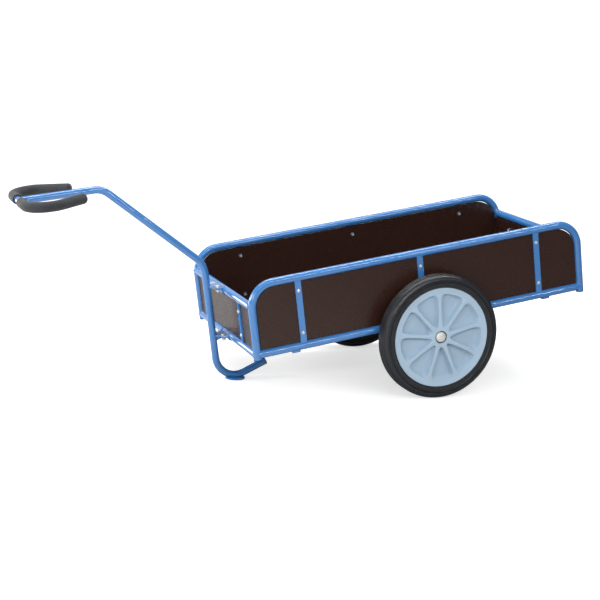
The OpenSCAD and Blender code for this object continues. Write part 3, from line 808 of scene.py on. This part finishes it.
def tee(centre, along, across, sign):
    """The seam where one of the bed's tubes, running along, meets another, running across."""
    c, a, m = Vector(centre), Vector(along), Vector(across)
    third = a.cross(m)
    out = []
    for t in full_circle(SEAM_POINTS):
        side = TUBE * math.cos(t)
        reach = math.sqrt(max(TUBE ** 2 - side ** 2, 0))
        out.append(tuple(c + third * side + m * TUBE * math.sin(t) + a * sign * reach))
    return out, True


frame_seams = []
for x, inward in ((0, 1), (BED_L, -1)):
    for y, inner in ((-HALF_W, 1), (HALF_W, -1)):
        frame_seams.append(tee((x, y, 0), X, Z, inward))
        for z in (0, RAIL_H):
            frame_seams.append(tee((x, y, z), Y, Z, inner))
bead("welds_bed_frame", frame_seams, 1.9)

# along the ends of the straps and the cross members, where they lie on the tubes
strap_seams = []
out = STRAP_OUT - 0.6
rise = math.sqrt(TUBE ** 2 - out ** 2)
for s in (-1, 1):
    for x in STRAP_X:
        for z in (rise, BED_H - rise):
            y = s * (HALF_W + out)
            strap_seams.append(straight((x - STRAP_BEAD, y, z), (x + STRAP_BEAD, y, z)))
for x in (-out, BED_L + out):
    for y in (-STRAP_Y, STRAP_Y):
        for z in (rise, RAIL_H - rise):
            strap_seams.append(straight((x, y - STRAP_BEAD, z), (x, y + STRAP_BEAD, z)))
for x in CROSS_X:
    for s in (-1, 1):
        for edge in (x - CROSS_HALF_W, x + CROSS_HALF_W):
            strap_seams.append(straight((edge, s * (HALF_W - CROSS_IN), -TUBE),
                                        (edge, s * (HALF_W + CROSS_OUT), -TUBE)))
bead("welds_straps", strap_seams, 1.6)


def arc(middle, radius, start, end, steps):
    """Points from one angle to another round a circle on the first axis, in degrees."""
    turns = [math.radians(start + (end - start) * k / steps) for k in range(steps + 1)]
    return [(middle + radius * math.cos(t), radius * math.sin(t)) for t in turns]


joint_seams = []
# the drawbar on the handle's tube
neck = []
for t in full_circle(SEAM_POINTS):
    side, up = DRAW * math.cos(t), DRAW * math.sin(t)
    reach = math.sqrt(max(BOW ** 2 - min(abs(up), BOW) ** 2, 0))
    neck.append((HANDLE_X + max(reach, NECK_LEAST), side, HANDLE_Z + up - drop * reach))
joint_seams.append((neck, True))
# the bracket plates on the drawbar, above and below each plate
behind = arc(UPRIGHT_X, DRAW + 0.2, -72, 72, 24)
for top in PLATE_TOPS:
    for z in (top, top - PLATE_T):
        joint_seams.append(([(x, y, z) for x, y in behind], False))
# the lugs' sides on the end rails
before = arc(0, TUBE + 0.9, 115, 245, 16)
for rail in (RAIL_H, 0.0):
    for y in (-LUG_HALF_W, LUG_HALF_W):
        joint_seams.append(([(x, y, rail + z) for x, z in before], False))
# both faces of the axle brackets under the bottom rails
for s in (-1, 1):
    for y in (s * HALF_W - BRACKET_FACE, s * HALF_W + BRACKET_FACE):
        joint_seams.append(straight((AXLE.x - BRACKET_BEAD, y, BRACKET_TOP),
                                    (AXLE.x + BRACKET_BEAD, y, BRACKET_TOP)))
bead("welds_brackets", joint_seams, 1.5)


# ---------------------------------------------------------------- floor
FLOOR_CORNERS = [(-90, -60, 0), (90, -60, 0), (90, 240, 0), (-90, 240, 0)]
FLOOR_GAP = 0.0004
floor_mesh = bpy.data.meshes.new("floor")
floor_mesh.from_pydata(FLOOR_CORNERS, [], [(0, 1, 2, 3)])
floor = bpy.data.objects.new("floor", floor_mesh)
floor.location.z = -FLOOR_GAP
bpy.context.scene.collection.objects.link(floor)

# The camera sees white paper, with a glow for camera rays only: painted light that lightens the
# shadows on it. What the floor throws back at the cart is greyer, less so towards the handle.
paper_mat, tree, shader = material("studio_floor")
seen = tree.nodes.new("ShaderNodeLightPath").outputs["Is Camera Ray"]
paper = shades(tree, noise_tex(tree, 2, 2), grey(0.70), grey(0.71), (0.2, 0.8))
place = tree.nodes.new("ShaderNodeSeparateXYZ")
tree.links.new(coords(tree), place.inputs[0])
bounce = ramp(tree, place.outputs["X"], [(0.0, grey(0.54)), (0.5, grey(0.42)), (1.0, grey(0.24))])
surface(tree, shader, mix(tree, seen, bounce, paper), 0.9, 0.0)
shader.inputs["Emission Color"].default_value = (1, 1, 1, 1)
# painted light: the paper glows, for camera rays only
tree.links.new(maths(tree, "MULTIPLY", seen, 0.60), shader.inputs["Emission Strength"])
floor_mesh.materials.append(paper_mat)

# ---------------------------------------------------------------- sky
world = bpy.data.worlds.new("studio")
bpy.context.scene.world = world
world.use_nodes = True
sky = world.node_tree
sky.nodes.clear()
height = sky.nodes.new("ShaderNodeSeparateXYZ")
sky.links.new(sky.nodes.new("ShaderNodeTexCoord").outputs["Generated"], height.inputs[0])
ways = sky.nodes.new("ShaderNodeLightPath").outputs


def dome(strength, stops):
    """Light from all round, graded upwards from the horizon."""
    node = add(sky, "ShaderNodeBackground", Strength=strength)
    sky.links.new(ramp(sky, height.outputs["Z"], stops), node.inputs["Color"])
    return node.outputs[0]


def either(which, no, yes):
    """One sky or the other, by the kind of ray."""
    node = sky.nodes.new("ShaderNodeMixShader")
    for socket, source in zip(node.inputs, (which, no, yes)):
        sky.links.new(source, socket)
    return node.outputs[0]


soft = dome(0.9, [(0.0, grey(0.16)), (0.3, grey(0.3)), (1.0, grey(1.0))])
mirrored = dome(0.16, [(0.0, grey(0.7)), (1.0, grey(1.0))])
white = dome(1.0, [(0.0, grey(1.0)), (1.0, grey(1.0))])
lit = either(ways["Is Glossy Ray"], soft, mirrored)
sky.links.new(either(ways["Is Camera Ray"], lit, white),
              sky.nodes.new("ShaderNodeOutputWorld").inputs[0])

# ---------------------------------------------------------------- lights
# name, place, what it points at, size in metres, watts
LIGHTS = [
    ("strip_near", (0.2, -3.3, 1.95), (0.2, 0, 0.35), (4.4, 0.12), 60),
    ("strip_far", (0.2, 0.55, 3.2), (0.2, 0, 0.35), (4.4, 0.18), 80),
    ("key", (-2.8, -3.0, 1.2), (0, -0.3, 0.25), (1.1, 1.1), 32),
    ("front", (-3.6, 0.6, 1.3), (-0.2, 0, 0.3), (1.5, 1.2), 72),
    ("backdrop", (0.6, 4.6, 1.3), (0.3, 0, 0.4), (7.0, 2.4), 26),
    ("card_front", (-1.5, 1.5, 0.3), (-0.3, 0, 0.25), (1.2, 0.6), 9),
]


def emitter(name, where, target, size, watts):
    """A rectangular lamp that the camera doesn't see."""
    light = bpy.data.lights.new(name, "AREA")
    light.shape = "RECTANGLE"
    light.size, light.size_y = size
    light.energy = watts
    o = bpy.data.objects.new(name, light)
    o.location = where
    o.rotation_euler = (Vector(target) - Vector(where)).to_track_quat("-Z", "Y").to_euler()
    o.visible_camera = False
    bpy.context.scene.collection.objects.link(o)


for row in LIGHTS:
    emitter(*row)

# ---------------------------------------------------------------- camera, at the photo's viewpoint
camera = bpy.data.cameras.new("camera")
camera.sensor_width = 36
camera.lens = 92.087
camera.shift_x = -0.0013
camera.shift_y = 0.0005
camera.clip_end = 500
cam = bpy.data.objects.new("camera", camera)
cam.location = (-1.7728, -4.5799, 1.3410)
cam.rotation_euler = [math.radians(angle) for angle in (77.509, -2.751, -20.839)]
bpy.context.scene.collection.objects.link(cam)
bpy.context.scene.camera = cam
bpy.context.scene.view_settings.view_transform = "Standard"
